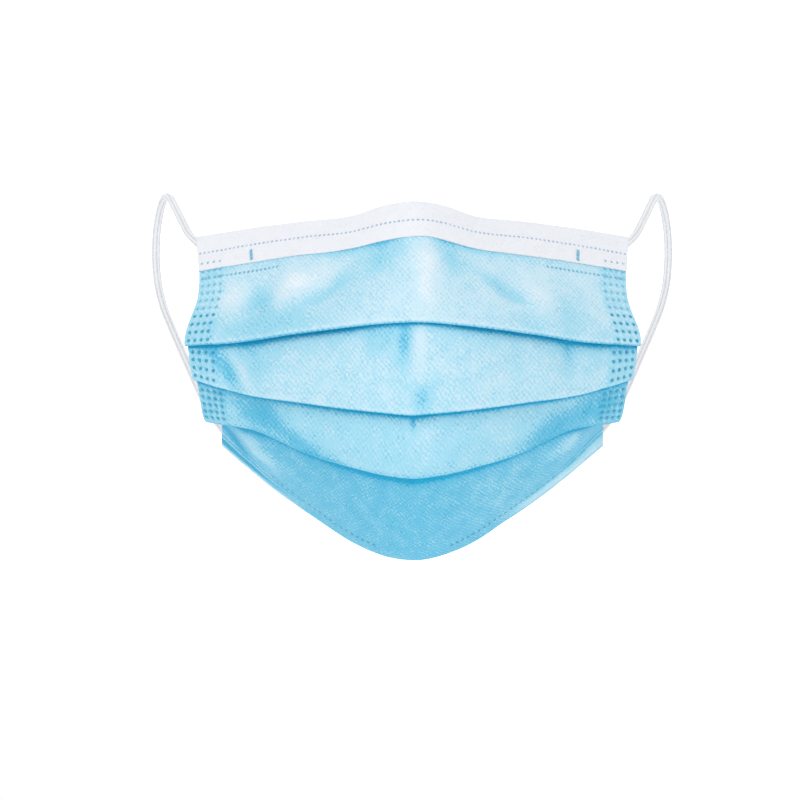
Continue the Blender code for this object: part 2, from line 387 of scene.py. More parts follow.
def strokes(panel, t, down, ends, value):
    """Sum of a panel's creases at lengths down the section at t, in millimetres or in tone."""
    total = np.zeros(len(down))
    for crease in CREASES:
        if crease.panel != panel:
            continue
        across = 1000 * MASK_HALF_WIDTH * (t - crease.across)
        along = 1000 * (down - ends[panel] - crease.share * (ends[panel + 1] - ends[panel]))
        turn = math.radians(crease.turn)
        lengthwise = along * math.cos(turn) - across * math.sin(turn)
        sideways = along * math.sin(turn) + across * math.cos(turn)
        total += getattr(crease, value) * hump(lengthwise, crease.long) * hump(sideways, crease.wide)
    return total


WRINKLE = 0.00016


def wrinkles(t, down):
    """Small uneven waves all over the cloth, the same each time."""
    u = t * HALF_CUT_WIDTH
    return WRINKLE * np.array([
        noise.noise((u / 0.011, v / 0.008, 3.7)) + 0.5 * noise.noise((u / 0.0045, v / 0.0035, 8.1))
        for v in down])


print(len(CREASES), "creases in", PANELS, "panels")

# %% Quilt the side bands
QUILT_HEIGHT = 0.00038
# QUILT_TONE paints highlights on the puffs between the pips and shade round the pips
QUILT_TONE = 0.26
QUILT_BASE = 1.25  # tone of the whole band, as a share of the quilt's tone
QUILT_STARTS = 0.008  # down from the top edge
BAND_OF_PIPS = 0.0116  # in from the side edge
BAND_RIM, BAND_FADE = 0.0006, 0.0012
PIP_HOLLOW = 0.00080
SOFT_END = 0.002  # length over which a relief starts or ends


def side_band(t):
    """1 in the side bands, 0 over the rest of the cloth."""
    inwards = HALF_CUT_WIDTH * (1 - abs(t))
    return float(ease(inwards / BAND_RIM) * ease((BAND_OF_PIPS - inwards) / BAND_FADE))


def quilting(t, down, ends):
    """How puffy the cloth is between the pips of the side bands."""
    band = side_band(t)
    if band == 0.0:
        return np.zeros(len(down))
    column = hump(HALF_CUT_WIDTH * (1 - abs(t)) - PIP_COLUMNS, PIP_HOLLOW).max()
    row = hump(down[:, None] - np.concatenate(pips_down(ends)), PIP_HOLLOW).max(axis=1)
    in_rows = ease((down - QUILT_STARTS) / SOFT_END) * ease((ends[3] + SOFT_END / 2 - down) / SOFT_END)
    return QUILT_HEIGHT * band * in_rows * (1 - column * row)


def quilt_tone(t, down, ends):
    """Painted highlight on the side bands' puffs and painted shade round their pips, over a band that is
    deeper all over.
    """
    return QUILT_TONE * (QUILT_BASE - quilting(t, down, ends) / QUILT_HEIGHT) * side_band(t)


print("quilted band:", 1000 * BAND_OF_PIPS, "mm wide")

# %% Add up the reliefs
HEM_PUFF = 0.00025
HEM_FADE, HEM_SEAM = 0.0012, 0.0006
HEM_MIDDLE = 0.25  # how rolled the hem is at the middle, as a share
ROLL_STARTS, ROLL_LENGTH = 0.4, 0.3


def relief(panel, t, down, ends):
    """Everything that moves the cloth of a panel out of its smooth place."""
    shown = np.ones(len(down))
    if panel:
        shown = ease((down - ends[panel]) / SOFT_END)
    if panel < PANELS - 1:
        shown = shown * ease((ends[panel + 1] - down) / SOFT_END)
    own = -0.001 * strokes(panel, t, down, ends, "depth") * shown
    if panel == PANELS - 1:
        up, width = ends[-1] - down, by_station(HEM_STRIP, t)
        rolled = HEM_MIDDLE + (1 - HEM_MIDDLE) * float(ease((abs(t) - ROLL_STARTS) / ROLL_LENGTH))
        own += HEM_PUFF * rolled * (ease((width - up) / HEM_FADE) - hump(up - width, HEM_SEAM))
    return own + wrinkles(t, down) + quilting(t, down, ends)


print("relief down the middle:", (1e6 * relief(0, 0.0, np.linspace(0, 0.02, 3), panel_ends(0.0))).round(),
      "thousandths of a mm")

# %% [markdown]
# ## One section as one path
# Now the pieces of the path are put in order: a panel, the turn at its lip, the ply that goes back up,
# the turn at its top, the hidden part of the next panel, and so on down to the hem, where the blue
# cloth turns in once more. At the bottom panel the side edges are drawn in, as the photograph shows.

# %% Join the path
HIDDEN_STEPS = 5
TURN_ANGLES = np.radians([36, 72, 108, 144])
SIDE_DRAW = 0.067  # how far the bottom panel's sides are drawn in, as a share of their width
DRAW_STARTS = 0.70  # from here out to the side edge
DRAW_FADE = 0.55  # share of the panel's length over which it fades
Path = namedtuple("Path", "down out way_down way_out panel draw")


def fold_path(t, hem=True):
    """Path of the folded cloth on the section at t: places, and the way that its blue side faces."""
    ends = panel_ends(t)
    drawn = SIDE_DRAW * float(ease((abs(t) - DRAW_STARTS) / (1 - DRAW_STARTS)))
    half, sines, cosines = PLY_PITCH / 2, np.sin(TURN_ANGLES), np.cos(TURN_ANGLES)
    parts = []

    def add(*values):
        parts.append(np.stack(np.broadcast_arrays(*values)))

    for panel in range(PANELS):
        start, end = ends[panel], ends[panel + 1]
        if panel:
            down = np.linspace(start - tuck(t), start, HIDDEN_STEPS + 1)[:-1]
            draw = drawn if panel == PANELS - 1 else 0.0
            add(down, panel_out(panel, t, down, ends) + relief(panel - 1, t, down, ends),
                0, 1, panel, draw)
        down = start + PANEL_SHARES[panel] * (end - start)
        draw = 0.0
        if panel == PANELS - 1:
            draw = drawn * (1 - ease((down - start) / (DRAW_FADE * (end - start))))
        add(down, panel_out(panel, t, down, ends) + relief(panel, t, down, ends), 0, 1, panel, draw)
        if panel < PANELS - 1 or hem:
            moved = relief(panel, t, np.array([end]), ends)[0]
            add(end + half * sines, moved - half + half * cosines, sines, cosines, panel, 0)
        if panel < PANELS - 1:
            back = np.linspace(end, end - tuck(t), HIDDEN_STEPS + 1)
            rise = panel_out(panel, t, back, ends) - PLY_PITCH + relief(panel, t, back, ends)
            last = drawn if panel == PANELS - 2 else 0
            add(back, rise, 0, -1, panel, last * ease((end - back) / tuck(t)))
            add(back[-1] - half * sines, rise[-1] - half + half * cosines, sines, -cosines, panel, last)
        elif hem:
            back = np.linspace(end, end - HEM_TURN, HIDDEN_STEPS)
            add(back, relief(panel, t, back, ends) - PLY_PITCH, 0, -1, panel, 0)
    return Path(*np.concatenate(parts, axis=1))


def lay(t, path, lift):
    """Points beside a path on the section at t, lifted towards the side that it faces."""
    points = place(t, path.down + lift * path.way_down, path.out + lift * path.way_out) - seat
    points[:, 0] *= 1 - path.draw
    return points


middle_path = fold_path(0.0)
print("points down one section:", len(middle_path.down))

# %% [markdown]
# ## Finishes
# Spunbond cloth is a mat of fine fibres, melted together at small embossed points in diagonal rows. Its
# finish needs those points, some fibre grain, a tone that holds painted shade in the folds and a soft
# sheen. Patterns follow the cloth's own UV map, in metres, so they run round the folds as the real ones
# do.

# %% Helpers for node trees


def give(node, inputs):
    """Links each input of a node to a socket, or gives it a value, by its name or place."""
    for name, value in dict(inputs).items():
        if isinstance(value, bpy.types.NodeSocket):
            node.id_data.links.new(value, node.inputs[name])
        else:
            node.inputs[name].default_value = value
    return node


def add_node(tree, kind, inputs=(), **properties):
    """A node with its properties set and its inputs given."""
    made = tree.nodes.new(kind)
    for name, value in properties.items():
        setattr(made, name, value)
    return give(made, inputs)


def result_of(tree, kind, inputs=(), **properties):
    """The first output of a new node."""
    return add_node(tree, kind, inputs, **properties).outputs[0]


def maths(tree, operation, *inputs):
    """The result of a Math node on values or sockets."""
    return result_of(tree, "ShaderNodeMath", enumerate(inputs), operation=operation)


# %% Helpers for finishes
def new_finish(name):
    """A material, its tree and its shader."""
    made = bpy.data.materials.new(name)
    made.use_nodes = True
    return made, made.node_tree, made.node_tree.nodes["Principled BSDF"]


def tone_ramp(tree, value, stops):
    """Colours by value."""
    ramp = add_node(tree, "ShaderNodeValToRGB", {0: value})
    ramp.color_ramp.interpolation = "EASE"
    while len(ramp.color_ramp.elements) < len(stops):
        ramp.color_ramp.elements.new(0.5)
    for element, (at, colour) in zip(ramp.color_ramp.elements, stops):
        element.position = at
        element.color = (*colour, 1.0)
    return ramp.outputs["Color"]


def grain(tree, vector, scale, detail=3.0):
    """A noise pattern's value."""
    return result_of(tree, "ShaderNodeTexNoise", {"Vector": vector, "Scale": scale, "Detail": detail})


def bumps(tree, height, distance, strength, under=None):
    """A Bump node's normal, on top of any bumps under it."""
    inputs = {"Height": height, "Distance": distance, "Strength": strength}
    if under is not None:
        inputs["Normal"] = under
    return result_of(tree, "ShaderNodeBump", inputs)


# %% Emboss a pattern of puffs
EMBOSS_PITCH = 0.00145  # between the diagonal rows of melted points
PLAIN_DIAGONAL = 0.6  # the plainer diagonal's share of the embossed pattern
DRIFT_GRAIN, DRIFT = 480.0, 0.0026  # the pattern isn't quite even
PRESS_GRAIN, PRESS_GAIN, PRESS_LOSS = 240.0, 3.2, -0.8  # nor is it pressed evenly


def emboss(tree, vector):
    """Puffs of cloth in diagonal rows: 1 on a puff and -1 in a melted point."""
    across, along = add_node(tree, "ShaderNodeSeparateXYZ", {0: vector}).outputs[:2]
    turns = 2 * math.pi / (math.sqrt(2) * EMBOSS_PITCH)
    rising, falling = [
        maths(tree, "COSINE", maths(tree, "MULTIPLY", maths(tree, way, across, along), turns))
        for way in ("SUBTRACT", "ADD")]
    return maths(tree, "SUBTRACT", maths(tree, "MULTIPLY", rising, PLAIN_DIAGONAL),
                 maths(tree, "MULTIPLY", falling, 1 - PLAIN_DIAGONAL))


def shifted(tree, vector, scale, distance):
    """A vector that noise moves about a little, so that a pattern on it isn't quite even."""
    uneven = add_node(tree, "ShaderNodeTexNoise", {"Vector": vector, "Scale": scale}).outputs["Color"]
    centred = result_of(tree, "ShaderNodeVectorMath", {0: uneven, 1: (0.5, 0.5, 0.5)},
                        operation="SUBTRACT")
    return result_of(tree, "ShaderNodeVectorMath", {0: centred, 1: (distance, distance, 0), 2: vector},
                     operation="MULTIPLY_ADD")


print(f"puffs {1000 * EMBOSS_PITCH:.2f} mm apart")

# %% Make the cloth finishes
CLOTH_UV = "cloth"
Grain = namedtuple("Grain", "name scale detail share")
CLOTH_GRAINS = (  # uneven tone of the cloth, from its clouds down to its fibres
    Grain("clouds", 160.0, 3.0, 1.0),
    Grain("speckles", 1000.0, 2.0, 0.9),
    Grain("fibres", 2600.0, 4.0, 0.6),
)


def spunbond(name, stops, spread, puff_tone):
    """Nonwoven cloth, whose colour follows the tone attribute."""
    made, tree, shader = new_finish(name)
    where = result_of(tree, "ShaderNodeUVMap", uv_map=CLOTH_UV)
    pressed = maths(tree, "MULTIPLY_ADD", grain(tree, where, PRESS_GRAIN, detail=2.0),
                    PRESS_GAIN, PRESS_LOSS)
    puffs = maths(tree, "MULTIPLY", emboss(tree, shifted(tree, where, DRIFT_GRAIN, DRIFT)), pressed)
    tone = add_node(tree, "ShaderNodeAttribute", attribute_name="tone").outputs["Fac"]
    value = maths(tree, "MULTIPLY_ADD", puffs, -puff_tone, tone)
    for kind in CLOTH_GRAINS:
        uneven = grain(tree, where, kind.scale, kind.detail)
        centred = maths(tree, "SUBTRACT", uneven, 0.5)
        value = maths(tree, "MULTIPLY_ADD", centred, kind.share * spread, value)
    rough = bumps(tree, uneven, distance=0.00006, strength=0.5)  # the last grain, the fibres
    give(shader, {
        "Base Color": tone_ramp(tree, value, stops),
        "Normal": bumps(tree, puffs, distance=0.00008, strength=0.8, under=rough),
        "Roughness": 0.62, "Specular IOR Level": 0.20, "Sheen Weight": 0.10, "Sheen Roughness": 0.5})
    return made


blue_cloth = spunbond("blue_cloth", (
    (0.00, (0.88, 0.94, 1.00)), (0.25, (0.65, 0.86, 0.96)), (0.50, (0.38, 0.75, 0.91)),
    (0.75, (0.13, 0.56, 0.80)), (1.00, (0.004, 0.42, 0.70))), 0.26, 0.12)
white_cloth = spunbond("white_cloth", (
    (0.0, (0.93, 0.935, 0.97)), (1.0, (0.60, 0.66, 0.80))), 0.10, 0.04)
print("made", blue_cloth.name, "and", white_cloth.name)

# %% Make the welds' finishes
FILM_GRAIN = 1500.0


def film(name, colour):
    """The melted film in a weld: darker and glossier than the cloth."""
    made, tree, shader = new_finish(name)
    uneven = grain(tree, add_node(tree, "ShaderNodeTexCoord").outputs["Object"], FILM_GRAIN)
    paler = tuple(min(1.0, 1.5 * c + 0.08) for c in colour)
    give(shader, {"Base Color": tone_ramp(tree, uneven, ((0.3, colour), (0.75, paler))),
                  "Normal": bumps(tree, uneven, distance=0.00005, strength=0.4), "Roughness": 0.38})
    return made


blue_film = film("blue_film", (0.02, 0.27, 0.42))
grey_film = film("grey_film", (0.34, 0.44, 0.56))
mark_film = film("mark_film", (0.15, 0.42, 0.56))
print("made", blue_film.name, grey_film.name, "and", mark_film.name)

# %% [markdown]
# ## The plies
# A ply is a closed shell: the same grid of points twice, a fifth of a millimetre apart, with its rim
# stitched. Its UV map holds the place on the flat cloth, and its tone attribute how deep its colour is,
# with painted shade and highlights in it.

# %% Tone of the cloth
# each panel's tone is the cloth's own blue, with painted shade that deepens panel by panel towards the
# hem
PANEL_TONES = (0.31, 0.37, 0.48, 0.71)
LIP_UNDERSIDE = 0.0003  # how far round a lip its underside starts
# painted shade on the underside of each lip
UNDERSIDE_TONE = 0.3
RIM_UP, RIM_HALF = 0.0004, 0.0005  # where the rim of a lip lies above its turn
# painted shadow under each lip: a dark line, then shade fading down the panel below; rim paints a pale
# highlight along lips 1 and 2 and shade along lip 3
LipShade = namedtuple("LipShade", "hidden line height rim depth strength")
LIP_SHADES = (  # cloth that a lip hides from the front, then the tone under it, by station
    LipShade((0.0003, 0.0001, 0.0, 0.0, 0.0003, 0.0005), 0.50, 0.0005, -0.07, 0.0026,
             (0.14, 0.22, 0.30, 0.26, 0.38, 0.10)),
    LipShade((0.0011, 0.0010, 0.0011, 0.0013, 0.0014, 0.0011), 0.42, 0.0005, -0.04, 0.0018,
             (0.20, 0.18, 0.20, 0.18, 0.14, 0.10)),
    LipShade((0.0035, 0.0032, 0.0030, 0.0027, 0.0024, 0.0044), 0.50, 0.0011, 0.12, 0.0020,
             (0.10, 0.10, 0.08, 0.08, 0.08, 0.05)),
)
BORDER_SHADE = (0.12, 0.34, 0.36, 0.16, 0.10, 0.16)  # right under the white band, by station
BORDER_FADE = 0.0016
LINE_FADE = 0.25  # share of the half width over which a line of the hem fades in

# the hem's lines are painted highlights where their tone is below 0 and painted shade where it is above 0
# where across it starts, then its place and half height as shares of the strip
HemLine = namedtuple("HemLine", "name side starts at half tone")
HEM_LINES = [HemLine(*row) for row in (
    ("pale outer roll", -1, 0.45, 0.12, 0.13, -0.34),
    ("dark inner roll", -1, 0.66, 0.47, 0.15, 0.55),
    ("pale ply", -1, 0.55, 0.74, 0.05, -0.22),
    ("first ply", -1, 0.50, 0.84, 0.04, 0.20),
    ("second pale ply", -1, 0.55, 0.94, 0.04, -0.20),
    ("second ply", -1, 0.50, 1.04, 0.04, 0.20),
    ("pale roll", 1, 0.40, 0.46, 0.42, -0.36),
    ("fold in the roll", 1, 0.50, 0.58, 0.04, 0.16),
    ("first ply", 1, 0.40, 0.98, 0.04, 0.20),
    ("pale ply", 1, 0.50, 1.08, 0.04, -0.14),
    ("dark inner fold", 1, 0.66, 1.26, 0.08, 0.26),
)]


def hem_tone(t, up):
    """Painted shade and highlights of the rolled hem, at lengths up from its edge."""
    share = up / by_station(HEM_STRIP, t)
    return sum(line.tone * float(ease((line.side * t - line.starts) / LINE_FADE))
               * hump(share - line.at, line.half) for line in HEM_LINES)


def cloth_tone(path, t):
    """How deep the blue is along a section: the cloth's own blue, with painted shade and highlights by
    panel, crease, quilt, lip, band and hem.
    """
    ends = panel_ends(t)
    tone = np.zeros(len(path.down))
    for panel in range(PANELS):
        here = path.panel == panel
        down = path.down[here]
        value = PANEL_TONES[panel] + strokes(panel, t, down, ends, "tone")
        if PIP_ROWS[panel].count:
            value += quilt_tone(t, down, ends)
        if panel:
            shade = LIP_SHADES[panel - 1]
            below = np.maximum(down - ends[panel] - by_station(shade.hidden, t), 0)
            value += by_station(shade.strength, t) * np.exp(-below / shade.depth)
            value += shade.line * np.exp(-np.maximum(below - shade.height, 0) / shade.height)
        if panel == 0:
            under_band = np.maximum(down - by_station(BAND_WIDTH, t), 0)
            value += by_station(BORDER_SHADE, t) * np.exp(-under_band / BORDER_FADE)
        if panel < PANELS - 1:
            value += UNDERSIDE_TONE * ease((down - ends[panel + 1]) / LIP_UNDERSIDE)
            value += LIP_SHADES[panel].rim * hump(down - ends[panel + 1] + RIM_UP, RIM_HALF)
        else:
            value += hem_tone(t, ends[-1] - down)
        tone[here] = value
    return np.clip(tone, 0, 1)


print("tone down the middle:", cloth_tone(middle_path, 0.0)[::40].round(2))

# %% Make a closed ply
THIN = 0.0001  # half the thickness of one ply
MAP_SHIFT = (HALF_CUT_WIDTH, 0.02)  # keeps the places on the UV map above zero


def grid_faces(columns, rows, base, outwards):
    """Quads of a grid of points whose columns lie side by side."""
    j, i = np.meshgrid(np.arange(columns - 1), np.arange(rows - 1), indexing="ij")
    a = (base + j * rows + i).ravel()
    quads = np.stack([a, a + 1, a + rows + 1, a + rows], axis=1)
    return quads if outwards else quads[:, ::-1]


def rim_faces(columns, rows, other):
    """Quads that join the rims of two grids, the second of which starts at other."""
    grid = np.arange(columns * rows).reshape(columns, rows)
    rim = np.concatenate((grid[0], grid[1:, -1], grid[-1, -2::-1], grid[-2:0:-1, 0]))
    after = np.roll(rim, -1)
    return np.stack([after, rim, rim + other, after + other], axis=1)


def ply(name, path_at, lift, tone_at, finish):
    """A closed thin sheet of cloth that follows a path on every section."""
    front, back, uv, tones = [], [], [], []
    for t in COLUMNS:
        path = path_at(t)
        front.append(lay(t, path, lift + THIN))
        back.append(lay(t, path, lift - THIN))
        steps = np.hypot(np.diff(path.down), np.diff(path.out))
        lengths = np.concatenate(([0.0], np.cumsum(steps)))
        uv.append(np.stack([np.full(len(lengths), t * HALF_CUT_WIDTH), lengths], axis=1))
        tones.append(tone_at(path, t))
    columns, rows = len(front), len(front[0])
    count = columns * rows
    points = np.concatenate(front + back)
    faces = np.concatenate([
        grid_faces(columns, rows, 0, True), grid_faces(columns, rows, count, False),
        rim_faces(columns, rows, count)])
    mesh = bpy.data.meshes.new(name)
    mesh.from_pydata(points.tolist(), [], faces.tolist())
    flat = np.concatenate(uv + uv) + MAP_SHIFT
    corners = np.zeros(len(mesh.loops), np.int32)
    mesh.loops.foreach_get("vertex_index", corners)
    layer = mesh.uv_layers.new(name=CLOTH_UV)
    layer.data.foreach_set("uv", flat[corners].ravel().astype(np.float32))
    attribute = mesh.attributes.new("tone", "FLOAT", "POINT")
    attribute.data.foreach_set("value", np.concatenate(tones + tones).astype(np.float32))
    mesh.shade_smooth()
    mesh.materials.append(finish)
    area = sum(face.area for face in mesh.polygons) / 2
    print(f"{name}: {columns} x {rows} points, {2 * len(faces)} triangles, {10000 * area:.0f} cm2")
    return added(name, mesh)


# %% [markdown]
# ## The blue cloth
# The blue cloth is the outer ply. It follows the whole path and turns in at the hem.

# %% Make the blue cloth
BLUE_LIFT = 0.00012
blue_ply = ply("blue_ply", fold_path, BLUE_LIFT, cloth_tone, blue_cloth)
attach(blue_ply, "root")
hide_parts("face_cloth")

# %% [markdown]
# ## The white cloth
# The white cloth lines the mask. It comes down inside behind the blue one, and at the top it turns
# forward over the edge and down as a band, which keeps the nose wire in its pocket.

# %% Make the white cloth
BAND_OUT = 0.00042  # from the middle of the blue cloth to the middle of the band
LINING_IN = 0.00024
# painted shade: the lining inside is greyer than the band, and greyer still in its folds
LINING_SHADE = 0.22  # how much greyer the lining is than the band
LINING_FOLD = 0.34  # how much greyer still it is in its folds
BAND_TONE = 0.12
FOLD_HALF = 0.0012  # half width of a fold's grey line
LINING_JOINS = 0.003  # length below the top edge over which it comes close to the blue cloth
LINING_SHORT = 0.035  # share of the bottom panel that the lining ends above the hem
TOP_ANGLES = np.radians([30, 60, 90, 120, 150])
BAND_STEPS = 25


def lining_path(t):
    """From the band's lower edge up, over the top edge, and down inside to the hem."""
    ends = panel_ends(t)
    leg = np.linspace(by_station(BAND_WIDTH, t), 0.0, BAND_STEPS)
    front = [leg, BAND_OUT + relief(0, t, leg, ends), 0 * leg, 0 * leg + 1]
    moved = relief(0, t, np.array([0.0]), ends)[0]
    over = [-BAND_OUT * np.sin(TOP_ANGLES), moved + BAND_OUT * np.cos(TOP_ANGLES),
            -np.sin(TOP_ANGLES), np.cos(TOP_ANGLES)]
    base = fold_path(t, hem=False)
    keep = base.down < ends[-1] - LINING_SHORT * (ends[-1] - ends[-2])
    keep |= base.panel < PANELS - 1
    inside = Path(*[part[keep] for part in base])
    first = (inside.panel == 0) & (inside.way_out == 1)
    lift = LINING_IN + (BAND_OUT - LINING_IN) * np.where(first, ease(1 - inside.down / LINING_JOINS), 0)
    down = inside.down - lift * inside.way_down
    out = inside.out - lift * inside.way_out
    return Path(*[np.concatenate(parts) for parts in zip(
        (*front, 0 * leg, 0 * leg), (*over, 0 * TOP_ANGLES, 0 * TOP_ANGLES),
        (down, out, -inside.way_down, -inside.way_out, inside.panel, inside.draw))])


def lining_tone(path, t):
    """Painted shade: the lining is greyer than the band, and greyer still in its folds."""
    ends = panel_ends(t)
    inside = path.way_out < 0
    folds = sum(hump(path.down - end, FOLD_HALF) for end in ends[1:-1])
    return np.clip(BAND_TONE + (LINING_SHADE + LINING_FOLD * folds) * inside, 0, 1)


white_ply = ply("white_ply", lining_path, 0.0, lining_tone, white_cloth)
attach(white_ply, "root")
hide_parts("top_band")

# %% [markdown]
# ## Welds, by Geometry Nodes
# Every weld is the same small plate of melted film, set on the cloth many times. Geometry Nodes can
# copy one plate to each point of a guide, turned to face the way the cloth faces there. The sizes are
# inputs of the tree, so one tree makes pips, dots, marks and the flat ends of the loops.

# %% Helpers for geometry trees
def new_tree(name, guide, sizes, result):
    """An empty tree, what it is given, and its result's socket."""
    tree = bpy.data.node_groups.new(name, "GeometryNodeTree")
    sockets = [(guide, "Geometry"), *sizes.items(), ("Finish", "Material")]
    for label, kind in sockets:
        tree.interface.new_socket(label, in_out="INPUT", socket_type="NodeSocket" + kind)
    tree.interface.new_socket(result, in_out="OUTPUT", socket_type="NodeSocketGeometry")
    return tree, tree.nodes.new("NodeGroupInput").outputs, tree.nodes.new("NodeGroupOutput").inputs[0]


def named_value(tree, label, kind="FLOAT"):
    """What the points of a geometry hold under a name."""
    return result_of(tree, "GeometryNodeInputNamedAttribute", {"Name": label}, data_type=kind)


def close_tree(tree, geometry, given, result):
    """Ends a tree in real meshes that have their finish."""
    real = result_of(tree, "GeometryNodeRealizeInstances", {0: geometry})
    dressed = result_of(tree, "GeometryNodeSetMaterial", {"Geometry": real, "Material": given["Finish"]})
    tree.links.new(dressed, result)


# %% Build the weld tree
PLATE_TOP, PLATE_FOOT = 0.40, 0.54  # radii of a weld's plate, as shares of its size


def weld_tree():
    """Copies a small plate to every guide point."""
    sizes = {"Across": "Float", "Along": "Float", "Thickness": "Float", "Sides": "Int"}
    tree, given, result = new_tree("welds", "Guide", sizes, "Welds")
    plate = result_of(tree, "GeometryNodeMeshCone", {
        "Vertices": given["Sides"], "Radius Top": PLATE_TOP, "Radius Bottom": PLATE_FOOT, "Depth": 1.0})
    turn = result_of(tree, "ShaderNodeCombineXYZ", {2: maths(tree, "DIVIDE", math.pi, given["Sides"])})
    square = result_of(tree, "GeometryNodeTransform", {"Geometry": plate, "Rotation": turn})
    size = result_of(tree, "ShaderNodeCombineXYZ", enumerate(
        given[label] for label in ("Across", "Along", "Thickness")))
    shaped = result_of(tree, "GeometryNodeTransform", {"Geometry": square, "Scale": size})
    facing, sideways = [named_value(tree, label, "FLOAT_VECTOR") for label in ("facing", "sideways")]
    outwards = result_of(tree, "FunctionNodeAlignRotationToVector", {"Vector": facing}, axis="Z")
    aligned = result_of(tree, "FunctionNodeAlignRotationToVector",
                        {"Rotation": outwards, "Vector": sideways}, axis="X", pivot_axis="Z")
    copies = result_of(tree, "GeometryNodeInstanceOnPoints", {
        "Points": given["Guide"], "Instance": shaped, "Rotation": aligned})
    close_tree(tree, copies, given, result)
    return tree


welds = weld_tree()
print("weld tree:", len(welds.nodes), "nodes")

# %% Run a tree on a guide


def socket_key(tree, name):
    """The identifier of a tree's input, which a modifier's value is set by."""
    return next(item.identifier for item in tree.interface.items_tree
                if item.in_out == "INPUT" and item.name == name)


def settled(guide, tree, name, **values):
    """Runs a tree on a guide, keeps the result as a plain mesh object and removes the guide."""
    maker = guide.modifiers.new(name, "NODES")
    maker.node_group = tree
    for label, value in values.items():
        maker[socket_key(tree, label)] = value
    bpy.context.view_layer.update()
    mesh = bpy.data.meshes.new_from_object(guide.evaluated_get(bpy.context.evaluated_depsgraph_get()))
    mesh.name = name
    bpy.data.objects.remove(guide)
    print(f"{name}: {len(mesh.polygons)} faces")
    return added(name, mesh)


STEP_DOWN, STEP_OUT = 0.0005, 0.001  # how far away the cloth is read for the way it faces


def weld_guide(name, spots):
    """Points on the cloth with the way it faces. A spot is (t, panel, down, lift)."""
    points, facing, sideways = [], [], []
    for t, panel, down, lift in spots:
        ends = panel_ends(t)
        at = np.array([down, down, down + STEP_DOWN])
        out = panel_out(panel, t, at, ends) + relief(panel, t, at, ends) + lift
        out[1] += STEP_OUT
        here, raised, further = place(t, at, out) - seat
        up = raised - here
        up /= np.linalg.norm(up)
        along = further - here
        along /= np.linalg.norm(along)
        points.append(here)
        facing.append(up)
        sideways.append(np.cross(up, along))
    mesh = bpy.data.meshes.new(name)
    mesh.from_pydata([tuple(p) for p in points], [], [])
    for label, values in (("facing", facing), ("sideways", sideways)):
        attribute = mesh.attributes.new(label, "FLOAT_VECTOR", "POINT")
        attribute.data.foreach_set("vector", np.array(values, np.float32).ravel())
    return added(name, mesh)


# %% Weld the side bands
BLUE_FACE = BLUE_LIFT + THIN  # from the path to the blue cloth's face
BAND_FACE = BAND_OUT + THIN
PIP_THICKNESS = 0.00016
PIP_LIFT = 0.00008
PALE_PIPS_END = 0.028  # pips are pressed less hard down to here


def side_spots(on_band):
    """The pips on the white band, or on the blue cloth."""
    lift = (BAND_FACE if on_band else BLUE_FACE) + PIP_LIFT
    columns = [side * (1 - inwards / HALF_CUT_WIDTH) for side in (-1, 1) for inwards in PIP_COLUMNS]
    return [(t, panel, down, lift) for t in columns
            for panel, lengths in enumerate(pips_down(panel_ends(t))) for down in lengths
            if (down < by_station(BAND_WIDTH, t)) == on_band]


def weld(name, spots, across, along, finish, sides=8, thickness=PIP_THICKNESS):
    """One group of welds as a piece."""
    made = settled(weld_guide(name + "_guide", spots), welds, name, Across=across, Along=along,
                   Thickness=thickness, Sides=sides, Finish=finish)
    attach(made, "root")
    return made


blue_spots = side_spots(False)
weld("side_pips", [spot for spot in blue_spots if spot[2] > PALE_PIPS_END],
     across=0.00165, along=0.00120, finish=blue_film)
weld("side_pips_upper", [spot for spot in blue_spots if spot[2] <= PALE_PIPS_END],
     across=0.00130, along=0.00100, finish=mark_film)
weld("side_pips_on_band", side_spots(True),
     across=0.0012, along=0.0009, finish=grey_film)

# %% Weld the band, the border under it and the nose wire's pocket
DOT_PITCH = 0.00175
BAND_LINE = 0.0065
UNDER_BAND = 0.0032  # from the band's edge down to the line of dots under it
MARKS_ACROSS, MARKS_DOWN, MARKS_LIFT = (-0.745, 0.762), 0.0104, 0.0001
LINE_REACH = 0.985  # share of the half width that the lines of dots reach
BORDER_STARTS = 0.62  # the border's dots show from here out
HEM_DOTS = np.arange(0.20, 0.74, 0.028)


def line_spots(down_at, lift, reach):
    """Dots in a line across the top panel."""
    count = int(2 * reach * HALF_CUT_WIDTH / DOT_PITCH)
    return [(t, 0, down_at(t), lift) for t in np.linspace(-reach, reach, count + 1)]


def border_line(t):
    """Where the dots under the band lie."""
    return by_station(BAND_WIDTH, t) + UNDER_BAND


weld("band_dots", line_spots(lambda t: BAND_LINE, BAND_FACE, LINE_REACH),
     across=0.0009, along=0.00065, finish=grey_film)
border_spots = [spot for spot in line_spots(border_line, BLUE_FACE, LINE_REACH)
                if abs(spot[0]) > BORDER_STARTS]
hem_spots = [(t, PANELS - 1, panel_ends(t)[-1] - by_station(HEM_STRIP, t), BLUE_FACE)
             for side in (-1, 1) for t in side * HEM_DOTS]
weld("border_dots", border_spots, across=0.0011, along=0.0009, finish=mark_film)
weld("hem_dots", hem_spots, across=0.0010, along=0.0014, finish=blue_film)
weld("pocket_marks", [(t, 0, MARKS_DOWN, BAND_FACE + MARKS_LIFT) for t in MARKS_ACROSS],
     across=0.0014, along=0.0056, finish=mark_film, sides=4)

# %% [markdown]
# ## The ear loops
# An ear loop is one length of knitted elastic, 3 mm wide, from a weld inside the upper corner, back
# over the ear and round behind it, to a weld inside the lower corner. Curve to Mesh sweeps a slightly
# flat profile with fine ribs along the route, and a short wave along the length gives the knit.

